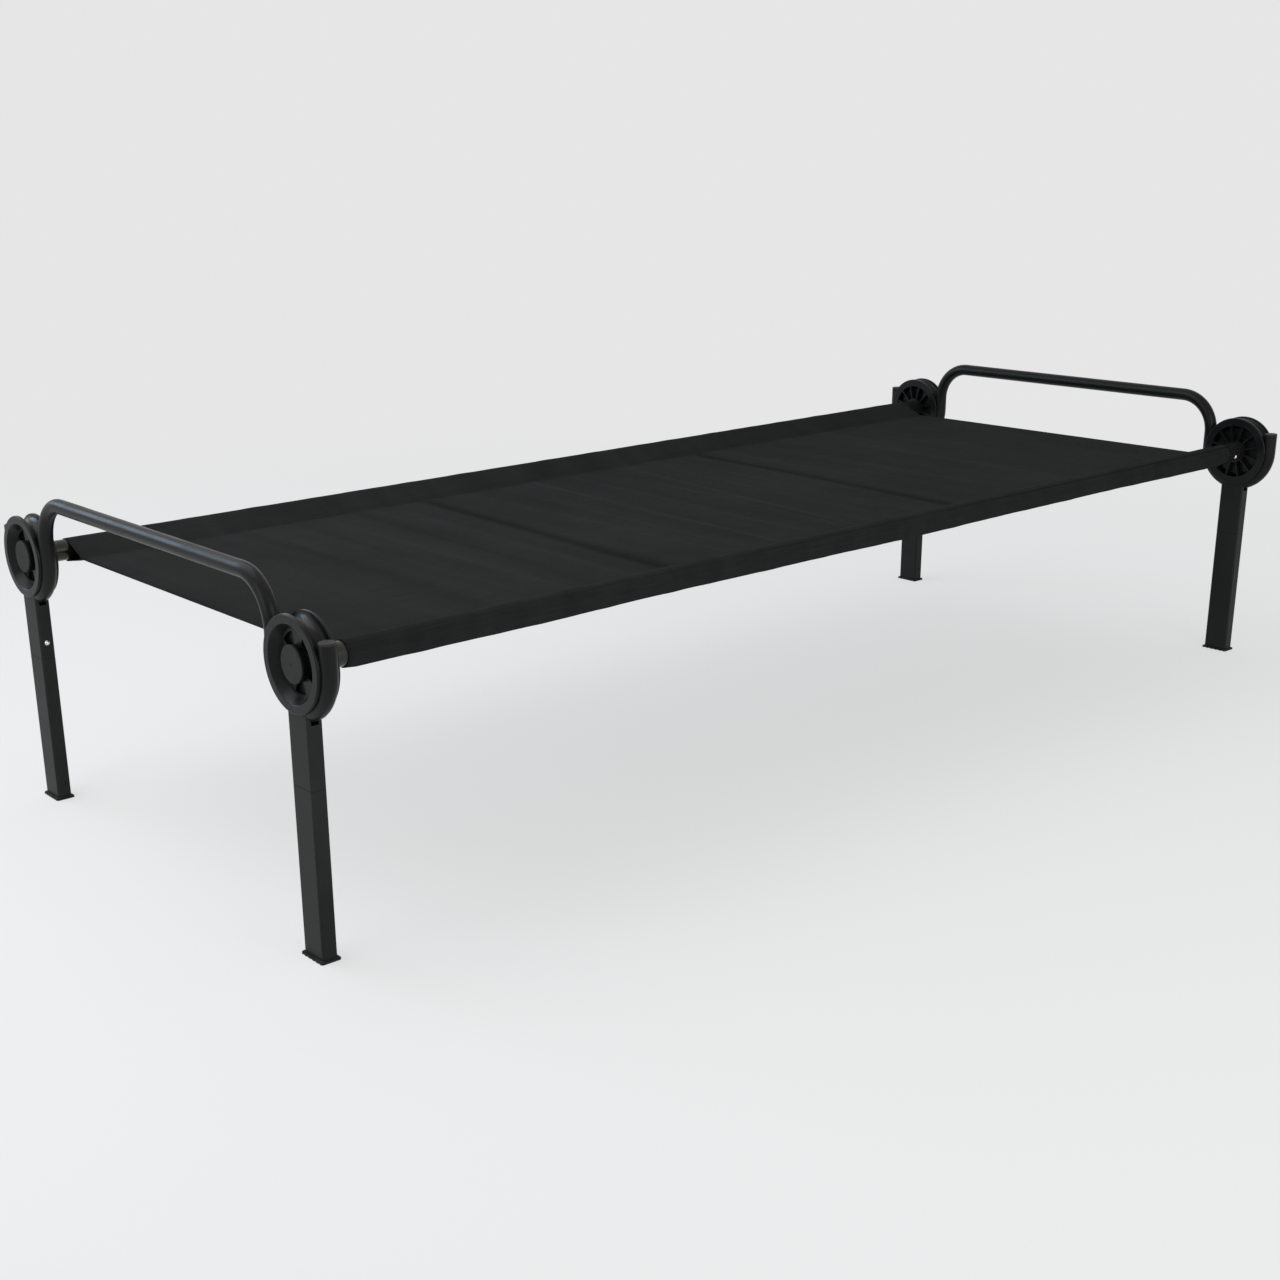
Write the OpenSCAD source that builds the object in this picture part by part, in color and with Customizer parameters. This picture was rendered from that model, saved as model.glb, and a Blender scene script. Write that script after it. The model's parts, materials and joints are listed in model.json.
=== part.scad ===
// Raised dog bed: a taut fabric deck sleeved onto two side rails. Each rail end passes through
// a grooved disc, and each disc drops into the curl of a bent-tube end frame. Plug-in legs
// hold it off the floor. Millimetres; +X runs along the bed, +Y across it, +Z up.
// The origin is on the floor under the middle of the deck.

/* [Bed] */
// Distance between the two end frames, tube centre to tube centre
frame_spacing = 2050; // [1500:10:2400]
// Distance between the two side rails, centre to centre
rail_spacing = 770; // [560:5:1000]
// Height of the rail centres above the floor
rail_height = 386; // [320:1:480]

/* [End frame] */
// Outside diameter of the bent frame tube
frame_tube_d = 22; // [18:0.5:26]
// Wall of the bent frame tube
frame_wall = 1.5; // [1:0.1:2.5]
// Height of the top bar above the rail centres
bar_rise = 92; // [75:1:130]
// Bend radius at each end of the top bar, to the tube's centre
corner_r = 64; // [35:1:70]
// Height of the hook's open end above the rail centres
hook_rise = 35; // [15:1:60]
// Height of the plug's rounded head that shows above the hook's end
plug_head = 3; // [1:0.5:5]
// Length of the plug's stem inside the tube
plug_stem = 16; // [8:1:30]

/* [Disc] */
// Diameter of the disc's two flanges
disc_d = 123; // [120:1:150]
// Thickness of the disc, flange face to flange face
disc_w = 32; // [29:0.5:38]
// Diameter of the dished recess where it opens in the outer face
dish_d = 100; // [90:1:108]
// Diameter of the dished recess at its floor
dish_floor_d = 86; // [70:1:88]
// Depth of the dished recess
dish_depth = 13; // [10.5:0.5:14]
// Radius of the rounded lip where the dish meets the outer face
lip_r = 1.5; // [0.5:0.1:2.5]
// Thickness of the web between the dish and the pockets behind it
web_t = 4; // [3:0.5:8]
// Number of broad spokes between the hollows in the dish floor
spoke_count = 5; // [3:1:8]
// Angle that a spoke spans round the boss
spoke_span = 36; // [20:1:40]
// Depth of the hollows below the dish floor
hollow_depth = 5; // [2:0.5:6]
// Width of the rim between the hollows and the dish wall
hollow_rim = 3.5; // [2.5:0.5:6]
// Radial wall between a hollow and the deep ring of pockets behind the rim
hollow_wall = 2.5; // [2:0.1:4]
// Number of thin ribs between the pockets of the inner face
rib_count = 12; // [8:1:18]
// Thickness of a thin rib
rib_t = 2.4; // [1.5:0.1:4]
// Outside diameter of the ring of pockets
pocket_d = 95; // [88:1:96]
// Outside diameter of the collar round the rail on the inner face
collar_d = 41; // [38:0.5:50]
// How far the collar stands out of the inner face
collar_proud = 2; // [0.5:0.5:6]
// Outside diameter of the boss that carries the cap
boss_d = 47; // [44:0.5:50]
// Rounding of the flange rims
rim_r = 1.6; // [0.5:0.1:2]

/* [Disc cap] */
// Diameter of the cap's round head
cap_d = 48; // [40:0.5:56]
// Thickness of the cap's head
cap_t = 3; // [2:0.5:5]
// Rounding of the cap's edge
cap_edge_r = 0.8; // [0.3:0.1:1.8]
// How far the cap's face lies below the disc's outer face
cap_inset = 2; // [0:0.5:4]

/* [Side rail] */
// Outside diameter of the side rail
rail_d = 32; // [28:0.5:34]
// Wall of the side rail
rail_wall = 1.5; // [1:0.1:2.5]
// Length of the joiner inside the middle of a rail
joiner_len = 160; // [80:5:300]
// Distance of the rail's snap button from the middle of the disc
rail_button_inset = 32.5; // [25:0.5:40]
// Angle of the rail's snap button below the horizontal
rail_button_tilt = 25; // [0:1:60]

/* [Leg] */
// Size of the leg tube across the bed
leg_depth = 44; // [35:1:50]
// Size of the leg tube along the bed
leg_width = 22; // [19:0.5:24]
// Wall of the leg tube
leg_wall = 1.5; // [1:0.1:2]
// Outside corner radius of the leg tube
leg_corner_r = 3; // [2:0.5:4]
// Length of the socket welded under the curl
socket_len = 84; // [60:1:120]
// Width of the vent notch at the top of the socket's narrow sides
vent_w = 11; // [4:0.5:12]
// Depth of the vent notch below the curl
vent_h = 4.5; // [3:0.5:8]
// Length of the spigot that stands up inside the socket
spigot_len = 66; // [45:1:72]
// Height of the leg's snap button above the end of the socket
leg_button_rise = 24; // [15:0.5:30]

/* [Foot] */
// Size of the foot plate across the bed
foot_depth = 50; // [45:0.5:60]
// Size of the foot plate along the bed
foot_width = 30; // [24:0.5:36]
// Thickness of the foot plate
foot_t = 3.5; // [3:0.5:10]
// Height of the foot's snap peg above the floor
foot_peg_height = 26; // [18:0.5:33]
// Diameter of the foot's snap peg
foot_peg_d = 5; // [4:0.5:8]
// Height of the foot's plug inside the leg
foot_plug_h = 32; // [26:0.5:50]

/* [Snap button] */
// Diameter of the snap button's pin
button_d = 8; // [6:0.5:9]
// How far a button stands out of the tube it locks
button_proud = 2.6; // [1.5:0.1:4]
// Diameter of the button's retaining flange
button_flange_d = 11; // [9.5:0.5:12]
// Thickness of the button's retaining flange
button_flange_t = 1.4; // [1:0.1:2.5]
// Thickness of the button's spring strip
spring_t = 0.8; // [0.5:0.1:1.2]
// Width of the button's spring strip
spring_w = 8; // [5:0.5:10]
// Length of the spring strip's two arms
spring_len = 34; // [26:1:38]
// Outer radius of the spring strip's bend
spring_bend_r = 3; // [2:0.1:4]

/* [Fabric deck] */
// Thickness of one layer of deck fabric
fabric_t = 1.2; // [0.8:0.1:2]
// Length of bare rail between the disc's middle and the sleeve's end
bare_rail = 55; // [45:1:90]
// Distance from the rail's centre to the seam that closes its sleeve
seam_inset = 52; // [35:1:90]
// How far the deck lies below the rail centres
deck_drop = 5; // [0:0.5:12]
// Width of the doubled hem at each end of the deck
hem_w = 30; // [15:1:60]

/* [Fits] */
// Radial clearance of a tube or plug that is pushed into another
push_gap = 0.25; // [0.1:0.05:0.5]
// Radial clearance of a moving button in its holes
button_gap = 0.4; // [0.2:0.05:0.8]
// Clearance between the frame tube and the disc's groove
groove_gap = 0.3; // [0.1:0.05:1]
// Clearance left by a welded or seated face
seat_gap = 0.05; // [0.02:0.01:0.2]
// Clearance of the fabric from the rail inside it
soft_gap = 0.3; // [0.2:0.05:1]

/* [Hidden] */
$fn = 64;
eps = 1;

frame_r = frame_tube_d / 2;
frame_bore_d = frame_tube_d - 2 * frame_wall;
disc_r = disc_d / 2;
curl_r = disc_r;
curl_underside = curl_r + frame_r;

rail_bore_r = rail_d / 2 - rail_wall;
boss_end = disc_w / 2 - cap_inset - cap_t;
boss_ledge = 0.5;
disc_seam_angle = 6;
dish_floor_x = disc_w / 2 - dish_depth;
dish_slope = atan2(dish_depth, (dish_d - dish_floor_d) / 2);
lip_setback = lip_r * tan(dish_slope / 2);
hollow_r = dish_floor_d / 2 - hollow_rim;
hollow_floor_x = dish_floor_x - hollow_depth;
pocket_step_r = hollow_r + hollow_wall;
rail_hole_r = rail_d / 2 + push_gap;
cap_plug_len = 18;
cap_plug_wall = 2;
gate_mark_d = 3;
gate_mark_depth = 0.5;

socket_end_z = -curl_underside - socket_len;
leg_button_z = socket_end_z + leg_button_rise;
leg_top_z = socket_end_z - seat_gap;
leg_foot_z = -rail_height + foot_t;
leg_bore_depth = leg_depth - 2 * leg_wall;
leg_bore_width = leg_width - 2 * leg_wall;
min_inner_r = 0.4;
leg_bore_r = max(leg_corner_r - leg_wall, min_inner_r);
spigot_depth = leg_bore_depth - 2 * push_gap;
spigot_width = leg_bore_width - 2 * push_gap;
shoulder_t = 2;
shoulder_bite = 0.75;
shoulder_wall = leg_wall + push_gap + shoulder_bite;
joint_line_h = 1;
joint_line_depth = 0.5;
vent_floor_z = -sqrt(pow(curl_underside, 2) - pow(leg_depth / 2, 2)) - vent_h;

foot_corner_r = 4;
foot_lip_inset = 1.2;
foot_lip_t = 1.2;
foot_plug_wall = 2;
foot_plug_r = 2.5;
foot_peg_proud = 1;
foot_peg_gap = 0.8;
foot_groove_w = 3;
foot_groove_depth = 1;
foot_groove_pitch = 9;

button_hole_r = button_d / 2 + button_gap;
button_dome_r = 0.62 * button_d;
leg_button_reach = 2 * leg_wall + push_gap + button_proud - seat_gap;
rail_flange_seat = sqrt(pow(rail_bore_r, 2) - pow(button_flange_d / 2, 2)) - seat_gap;
rail_button_reach = rail_d / 2 - rail_flange_seat + button_proud;
spring_lap = 0.2;

sleeve_r = rail_d / 2 + soft_gap + fabric_t;
sleeve_bore_r = rail_d / 2 + soft_gap;
seam_reach = norm([seam_inset, deck_drop]);
seam_pitch = atan2(deck_drop, seam_inset);
seam_bore_reach = seam_reach * sleeve_bore_r / sleeve_r;
wedge_start = 0.985;
deck_half_len = frame_spacing / 2 - bare_rail;

// Each corner: its name, then the side of the bed it lies on along X and across Y
CORNERS = [["front_left", -1, -1], ["front_right", 1, -1], ["back_left", -1, 1], ["back_right", 1, 1]];
CORNER_PARTS = [
    "disc", "disc_cap", "hook_plug", "leg_socket", "lower_leg", "foot", "leg_button", "leg_spring",
    "rail", "rail_button", "rail_spring"
];

// ---- Placing -------------------------------------------------------------------------

// A corner's own frame: origin on the rail centre in the plane of the curl,
// +X out past the end of the bed, +Y out past its side
module at_corner(c) {
    translate([c[1] * frame_spacing / 2, c[2] * rail_spacing / 2, rail_height])
        mirror([c[1] < 0 ? 1 : 0, 0, 0])
            mirror([0, c[2] < 0 ? 1 : 0, 0])
                children();
}

// Stands a shape drawn round the Z axis along the rail's axis, its +Z becoming +X
module along_rail() {
    rotate([90, 0, 90])
        children();
}

// Puts the rail button's axis, drawn as +Z with the spring running off along +X,
// at its place in the rail, with the spring towards the middle of the bed
module at_rail_button() {
    translate([-rail_button_inset, 0, 0])
        rotate([-90 - rail_button_tilt, 0, 0])
            mirror([1, 0, 0])
                children();
}

// Puts the leg button's axis, drawn as +Z with the spring running off along +X,
// on the leg's inner side, with the spring running down the leg
module at_leg_button() {
    translate([0, 0, leg_button_z])
        rotate([90, 90, 0])
            children();
}

// ---- Shared shapes -------------------------------------------------------------------

module rounded_rect(w, h, r) {
    square([w - 2 * r, h], center = true);
    square([w, h - 2 * r], center = true);
    for (sx = [-1, 1])
        for (sy = [-1, 1])
            translate([sx * (w / 2 - r), sy * (h / 2 - r)])
                circle(r);
}

module rect_tube(w, h, r, wall, len) {
    linear_extrude(len)
        difference() {
            rounded_rect(w, h, r);
            rounded_rect(w - 2 * wall, h - 2 * wall, max(r - wall, min_inner_r));
        }
}

module round_tube(r_out, r_in, len) {
    difference() {
        cylinder(r = r_out, h = len);
        translate([0, 0, -eps])
            cylinder(r = r_in, h = len + 2 * eps);
    }
}

module frame_run(len) {
    rotate([-90, 0, 0])
        round_tube(frame_r, frame_bore_d / 2, len);
}

module frame_bend(r, angle) {
    rotate_extrude(angle = angle)
        translate([r, 0])
            difference() {
                circle(frame_r);
                circle(frame_bore_d / 2);
            }
}

// Solid ring in the curl's place, used to cut the seats of the disc's groove and the socket
module curl_cutter(gap) {
    along_rail()
        rotate_extrude()
            translate([curl_r, 0])
                circle(frame_r + gap);
}

// ---- End frame -----------------------------------------------------------------------

// One tube bent in one plane, drawn in XY with the rail centre at the origin: down the
// hook, under the disc, up its inner side and round the corner to half of the top bar
module half_frame() {
    drop_len = bar_rise - corner_r;
    bar_half = rail_spacing / 2 - curl_r - corner_r;
    translate([curl_r, 0, 0])
        frame_run(hook_rise);
    rotate([0, 0, 180])
        frame_bend(curl_r, 180);
    translate([-curl_r, 0, 0])
        frame_run(drop_len);
    translate([-curl_r - corner_r, drop_len, 0])
        frame_bend(corner_r, 90);
    translate([-curl_r - corner_r - bar_half, bar_rise, 0])
        rotate([0, 0, -90])
            frame_run(bar_half);
}

module end_frame(side) {
    color("#26282b")
        translate([side * frame_spacing / 2, 0, rail_height])
            for (m = [0, 1])
                mirror([0, m, 0])
                    translate([0, rail_spacing / 2, 0])
                        along_rail()
                            half_frame();
}

// Moulded plug pressed into the hook's open end
module hook_plug() {
    color("#1a1b1c")
        translate([0, curl_r, hook_rise])
            rotate_extrude()
                hook_plug_section();
}

module hook_plug_section() {
    stem_r = frame_bore_d / 2 - push_gap;
    intersection() {
        union() {
            translate([0, seat_gap])
                square([frame_r - plug_head / 2, plug_head]);
            translate([0, seat_gap])
                square([frame_r, plug_head / 2]);
            translate([frame_r - plug_head / 2, seat_gap + plug_head / 2])
                circle(plug_head / 2);
        }
        translate([0, seat_gap])
            square([frame_r + eps, plug_head]);
    }
    translate([0, -plug_stem])
        square([stem_r, plug_stem + seat_gap]);
}

// ---- Disc ----------------------------------------------------------------------------

// The flange's outer corner is rounded by rim_r on both faces
module disc_blank() {
    translate([0, -disc_w / 2])
        square([disc_r - rim_r, disc_w]);
    translate([0, -disc_w / 2 + rim_r])
        square([disc_r, disc_w - 2 * rim_r]);
    for (s = [-1, 1])
        translate([disc_r - rim_r, s * (disc_w / 2 - rim_r)])
            circle(rim_r);
    translate([0, -disc_w / 2 - collar_proud])
        square([collar_d / 2, collar_proud + eps]);
}

// The dish, open to the outer face, with its lip left for the rounding
module dish_section() {
    polygon([
        [0, dish_floor_x],
        [dish_floor_d / 2, dish_floor_x],
        [dish_d / 2 - lip_setback * cos(dish_slope), disc_w / 2 - lip_setback * sin(dish_slope)],
        [dish_d / 2 + lip_setback, disc_w / 2],
        [dish_d / 2 + lip_setback, disc_w / 2 + eps],
        [0, disc_w / 2 + eps]
    ]);
}

// Half section, x the radius and y outboard along the rail
module disc_section() {
    difference() {
        disc_blank();
        translate([curl_r, 0])
            circle(frame_r + groove_gap);
        dish_section();
        translate([-eps, -disc_w])
            square([rail_hole_r + eps, 2 * disc_w]);
    }
    translate([dish_d / 2 + lip_setback, disc_w / 2 - lip_r])
        circle(lip_r);
    translate([rail_hole_r, dish_floor_x - eps])
        square([boss_d / 2 - rail_hole_r, boss_end - dish_floor_x + eps]);
}

// Hollows sunk in the dish floor, with the broad spokes left between them
module hollow_cutter() {
    for (i = [0 : spoke_count - 1])
        rotate([0, 0, 90 + spoke_span / 2 + i * 360 / spoke_count])
            rotate_extrude(angle = 360 / spoke_count - spoke_span)
                translate([boss_d / 2 + boss_ledge, hollow_floor_x])
                    square([hollow_r - boss_d / 2 - boss_ledge, hollow_depth + eps]);
}

// Pockets in section: shallow behind the hollows, deep outside them
module pocket_section() {
    polygon([
        [collar_d / 2, -disc_w / 2 - eps],
        [pocket_d / 2, -disc_w / 2 - eps],
        [pocket_d / 2, dish_floor_x - web_t],
        [pocket_step_r, dish_floor_x - web_t],
        [pocket_step_r, hollow_floor_x - web_t],
        [collar_d / 2, hollow_floor_x - web_t]
    ]);
}

module pocket_cutter() {
    pocket_depth = dish_floor_x - web_t + disc_w / 2;
    difference() {
        rotate([0, 0, disc_seam_angle])
            rotate_extrude()
                pocket_section();
        for (i = [0 : rib_count - 1])
            rotate([0, 0, (i + 0.5) * 360 / rib_count])
                translate([0, -rib_t / 2, -disc_w / 2 - 2 * eps])
                    cube([disc_r, rib_t, pocket_depth + 3 * eps]);
    }
}

// Moulded disc: a round groove for the frame tube between two flanges, a dished outer
// face with spokes and hollows round the boss, and ribbed pockets behind
module disc() {
    color("#1d1e20")
        along_rail()
            difference() {
                rotate([0, 0, disc_seam_angle])
                    rotate_extrude()
                        disc_section();
                pocket_cutter();
                hollow_cutter();
            }
}

// Round cap that closes the rail's end and holds the disc on it
module disc_cap() {
    plug_r = rail_bore_r - push_gap;
    head_seat = boss_end + seat_gap;
    head_t = cap_t - seat_gap;
    color("#232426")
        along_rail()
            difference() {
                union() {
                    translate([0, 0, head_seat])
                        rotate_extrude() {
                            square([cap_d / 2, head_t - cap_edge_r]);
                            square([cap_d / 2 - cap_edge_r, head_t]);
                            translate([cap_d / 2 - cap_edge_r, head_t - cap_edge_r])
                                circle(cap_edge_r);
                        }
                    translate([0, 0, head_seat - cap_plug_len])
                        cylinder(r = plug_r, h = cap_plug_len + eps / 2);
                }
                translate([0, 0, head_seat - cap_plug_len - eps])
                    cylinder(r = plug_r - cap_plug_wall, h = cap_plug_len + eps);
                translate([0, 0, head_seat + head_t - gate_mark_depth])
                    cylinder(d = gate_mark_d, h = gate_mark_depth + eps);
            }
}

// ---- Side rails ----------------------------------------------------------------------

// Half of a side rail, from the middle of the bed out through the disc to the cap
module rail() {
    rail_len = frame_spacing / 2 + boss_end;
    color("#35383a")
        difference() {
            translate([-frame_spacing / 2, 0, 0])
                along_rail()
                    round_tube(rail_d / 2, rail_bore_r, rail_len);
            at_rail_button()
                cylinder(r = button_hole_r, h = rail_d);
        }
}

// Tube that joins the two halves of a rail from the inside
module rail_joiner(side) {
    joiner_r = rail_bore_r - push_gap;
    color("#5b5e60")
        translate([-joiner_len / 2, side * rail_spacing / 2, rail_height])
            along_rail()
                round_tube(joiner_r, joiner_r - rail_wall, joiner_len);
}

// ---- Snap buttons --------------------------------------------------------------------

// Pin with a domed tip on a retaining flange. Its axis is +Z, and the flange's face,
// which bears on the inside of the tube, is at z = 0
module snap_button(reach) {
    color("silver")
        union() {
            translate([0, 0, -button_flange_t])
                cylinder(d = button_flange_d, h = button_flange_t);
            intersection() {
                cylinder(d = button_d, h = reach);
                union() {
                    translate([0, 0, reach - button_dome_r])
                        sphere(button_dome_r);
                    cylinder(d = button_d, h = reach - button_dome_r);
                }
            }
        }
}

// Strip bent to a V that pushes the button out. The button's axis is +Z: the upper arm
// ends under the flange at z = top and the lower arm rests on the far wall at z = bottom
module snap_spring(top, bottom) {
    half_gap = (top - bottom) / 2;
    arm_angle = asin(half_gap / norm([spring_bend_r, spring_len])) - atan2(spring_bend_r, spring_len);
    color("#8d9092")
        translate([spring_len - spring_w / 2, 0, (top + bottom) / 2])
            rotate([90, 0, 0]) {
                for (s = [-1, 1])
                    mirror([0, s < 0 ? 1 : 0, 0])
                        rotate([0, 0, -arm_angle])
                            translate([-spring_len, spring_bend_r - spring_t, -spring_w / 2])
                                cube([spring_len + spring_lap, spring_t, spring_w]);
                rotate([0, 0, arm_angle - 90])
                    rotate_extrude(angle = 180 - 2 * arm_angle)
                        translate([spring_bend_r - spring_t, -spring_w / 2])
                            square([spring_t, spring_w]);
            }
}

module leg_button() {
    at_leg_button()
        translate([0, 0, spigot_depth / 2 - leg_wall - seat_gap])
            snap_button(leg_button_reach);
}

module leg_spring() {
    at_leg_button()
        snap_spring(
            spigot_depth / 2 - leg_wall - button_flange_t - 2 * seat_gap,
            -spigot_depth / 2 + leg_wall + seat_gap
        );
}

module rail_button() {
    at_rail_button()
        translate([0, 0, rail_flange_seat])
            snap_button(rail_button_reach);
}

module rail_spring() {
    floor_z = sqrt(pow(rail_bore_r, 2) - pow(spring_w / 2, 2));
    at_rail_button()
        snap_spring(rail_flange_seat - button_flange_t - seat_gap, -floor_z + seat_gap);
}

// ---- Legs ----------------------------------------------------------------------------

// Rectangular socket welded under the curl, its top shaped to the tube and notched as a vent
module leg_socket() {
    color("#26282b")
        difference() {
            translate([0, 0, socket_end_z])
                rect_tube(leg_width, leg_depth, leg_corner_r, leg_wall, frame_r + socket_len);
            curl_cutter(seat_gap);
            translate([-vent_w / 2, -leg_depth, vent_floor_z])
                cube([vent_w, 2 * leg_depth, curl_underside]);
            at_leg_button()
                cylinder(r = button_hole_r, h = leg_depth);
        }
}

// Lower leg: a tube as wide as the socket, with a reduced spigot that plugs into it and
// a shallow line round its top edge where the two lengths meet
module lower_leg() {
    leg_len = leg_top_z - leg_foot_z;
    color("#26282b")
        difference() {
            union() {
                translate([0, 0, leg_foot_z])
                    rect_tube(leg_width, leg_depth, leg_corner_r, leg_wall, leg_len);
                translate([0, 0, leg_top_z - shoulder_t])
                    rect_tube(leg_width, leg_depth, leg_corner_r, shoulder_wall, shoulder_t);
                translate([0, 0, leg_top_z - shoulder_t])
                    rect_tube(spigot_width, spigot_depth, leg_bore_r, leg_wall, shoulder_t + spigot_len);
            }
            at_leg_button()
                cylinder(r = button_hole_r, h = leg_depth);
            translate([0, 0, leg_top_z - joint_line_h])
                rect_tube(
                    leg_width + 2 * eps, leg_depth + 2 * eps, leg_corner_r + eps,
                    eps + joint_line_depth, joint_line_h + eps
                );
            translate([0, 0, foot_peg_height - rail_height])
                rotate([90, 0, 0])
                    cylinder(r = foot_peg_d / 2 + foot_peg_gap, h = leg_depth);
        }
}

// Moulded foot: a plate under the leg with a hollow plug inside it, held by a snap peg
module foot() {
    plug_width = leg_bore_width - 2 * push_gap;
    plug_depth = leg_bore_depth - 2 * push_gap;
    color("#17181a")
        difference() {
            translate([0, 0, -rail_height])
                union() {
                    linear_extrude(foot_t - foot_lip_t)
                        rounded_rect(foot_width, foot_depth, foot_corner_r);
                    linear_extrude(foot_t - seat_gap)
                        rounded_rect(
                            foot_width - 2 * foot_lip_inset, foot_depth - 2 * foot_lip_inset,
                            foot_corner_r - foot_lip_inset
                        );
                    translate([0, 0, foot_t - eps])
                        rect_tube(plug_width, plug_depth, foot_plug_r, foot_plug_wall, foot_plug_h + eps);
                    translate([0, 0, foot_peg_height])
                        rotate([90, 0, 0])
                            translate([0, 0, plug_depth / 2 - foot_plug_wall])
                                cylinder(d = foot_peg_d, h = foot_plug_wall + foot_peg_proud);
                }
            for (i = [-2 : 2])
                translate([-foot_width, i * foot_groove_pitch - foot_groove_w / 2, -rail_height - eps])
                    cube([2 * foot_width, foot_groove_w, foot_groove_depth + eps]);
        }
}

// ---- Fabric deck ---------------------------------------------------------------------

// Outline of a sleeve pulled to a point at its seam, drawn with the deck along +X.
// The wedge starts a little inside the circle, so that its sides cross it cleanly
module sleeve_outline(r, reach) {
    start_r = r * wedge_start;
    start_angle = acos(start_r / reach);
    start_x = start_r * cos(start_angle);
    start_y = start_r * sin(start_angle);
    rotate(-seam_pitch) {
        circle(r);
        polygon([[0, 0], [start_x, -start_y], [reach, 0], [start_x, start_y]]);
    }
}

// The deck in section, x across the bed and y up: the sheet between its two sleeves
module deck_section() {
    sheet_reach = rail_spacing / 2 - seam_bore_reach * cos(seam_pitch);
    difference() {
        union() {
            translate([-sheet_reach, -deck_drop - fabric_t / 2])
                square([2 * sheet_reach, fabric_t]);
            for (m = [0, 1])
                mirror([m, 0])
                    translate([-rail_spacing / 2, 0])
                        sleeve_outline(sleeve_r, seam_reach);
        }
        for (m = [0, 1])
            mirror([m, 0])
                translate([-rail_spacing / 2, 0])
                    sleeve_outline(sleeve_bore_r, seam_bore_reach);
    }
}

// Taut deck with a sleeve down each side and a doubled hem across each end
module fabric_deck() {
    hem_span = rail_spacing - 2 * seam_inset;
    color("#3a3d3e")
        translate([0, 0, rail_height]) {
            translate([-deck_half_len, 0, 0])
                along_rail()
                    linear_extrude(2 * deck_half_len)
                        deck_section();
            for (s = [-1, 1])
                translate([s * (deck_half_len - hem_w / 2), 0, -deck_drop])
                    cube([hem_w, hem_span, 2 * fabric_t], center = true);
        }
}

// ---- The bed -------------------------------------------------------------------------

end_frame(-1);  // left_end_frame
end_frame(1);  // right_end_frame
rail_joiner(-1);  // front_rail_joiner
rail_joiner(1);  // back_rail_joiner
fabric_deck();
for (c = CORNERS) {
    at_corner(c) disc();
    at_corner(c) disc_cap();
    at_corner(c) hook_plug();
    at_corner(c) leg_socket();
    at_corner(c) lower_leg();
    at_corner(c) foot();
    at_corner(c) leg_button();
    at_corner(c) leg_spring();
    at_corner(c) rail();
    at_corner(c) rail_button();
    at_corner(c) rail_spring();
}
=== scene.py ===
import json
import math

import bpy
import numpy as np
from mathutils import Matrix, Vector


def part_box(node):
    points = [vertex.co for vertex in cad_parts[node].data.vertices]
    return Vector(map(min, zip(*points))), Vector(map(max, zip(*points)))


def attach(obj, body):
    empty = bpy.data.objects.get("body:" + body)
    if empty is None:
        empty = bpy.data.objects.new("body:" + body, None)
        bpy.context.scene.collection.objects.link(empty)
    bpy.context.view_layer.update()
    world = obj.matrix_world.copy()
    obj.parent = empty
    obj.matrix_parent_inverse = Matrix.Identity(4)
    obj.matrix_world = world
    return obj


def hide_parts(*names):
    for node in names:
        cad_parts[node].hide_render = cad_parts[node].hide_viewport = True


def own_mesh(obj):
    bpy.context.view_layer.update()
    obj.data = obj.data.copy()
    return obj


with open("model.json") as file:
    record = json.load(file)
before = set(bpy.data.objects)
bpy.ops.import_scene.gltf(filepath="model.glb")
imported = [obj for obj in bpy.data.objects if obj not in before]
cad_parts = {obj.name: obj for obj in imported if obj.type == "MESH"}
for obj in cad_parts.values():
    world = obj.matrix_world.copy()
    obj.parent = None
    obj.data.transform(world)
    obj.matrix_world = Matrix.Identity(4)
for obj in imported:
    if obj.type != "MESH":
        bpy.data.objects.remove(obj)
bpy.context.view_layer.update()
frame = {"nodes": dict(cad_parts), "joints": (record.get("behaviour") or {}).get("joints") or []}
nodes = frame["nodes"]
root = "bed_frame"

# ---- End frames ------------------------------------------------------------------------
# Two lengths of 22 mm round steel tube, each bent in one plane into a top bar, two drops
# and two curls that the discs sit in. Welded to the leg sockets, blasted and coated with
# a satin black powder that flows out to a faint orange peel.

FLOAT, COLOUR, VECTOR = "NodeSocketFloat", "NodeSocketColor", "NodeSocketVector"
FRAME_BLACK = (0.0080, 0.0084, 0.0080)
# Dust colour and where it lies; turned up, as on the feet, it also paints light on upward faces
DUST_AND_LIGHT_TAN = (0.16, 0.15, 0.135, 1.0)
NOISE_SPAN = (0.3, 0.7)  # nearly all of a noise texture's values lie in it
PATCH_CONTRAST = 0.25
ROUGH_SPREAD = 0.12
DUST_AND_LIGHT_SLOPE = (0.35, 1.0)  # upward part of the normal, from no dust to all of it
DUST_AND_LIGHT_PATCHES = (0.38, 0.68)


def connect(tree, node, key, value):
    """Links a socket to a node's input, or stores any other value in it."""
    if isinstance(value, bpy.types.NodeSocket):
        tree.links.new(value, node.inputs[key])
    else:
        node.inputs[key].default_value = value


def add(tree, kind, **settings):
    """A new node: _name sets a property, in0 an input by number and Some_Name one by name."""
    made = tree.nodes.new(kind)
    for name, value in settings.items():
        if name.startswith("_"):
            setattr(made, name[1:], value)
    for name, value in settings.items():
        if name.startswith("in") and name[2:].isdigit():
            connect(tree, made, int(name[2:]), value)
        elif not name.startswith("_"):
            connect(tree, made, name.replace("_", " "), value)
    return made


def combine(tree, operation, *values):
    """The result of a Math node."""
    made = add(tree, "ShaderNodeMath", _operation=operation)
    for number, value in enumerate(values):
        connect(tree, made, number, value)
    return made.outputs[0]


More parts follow.
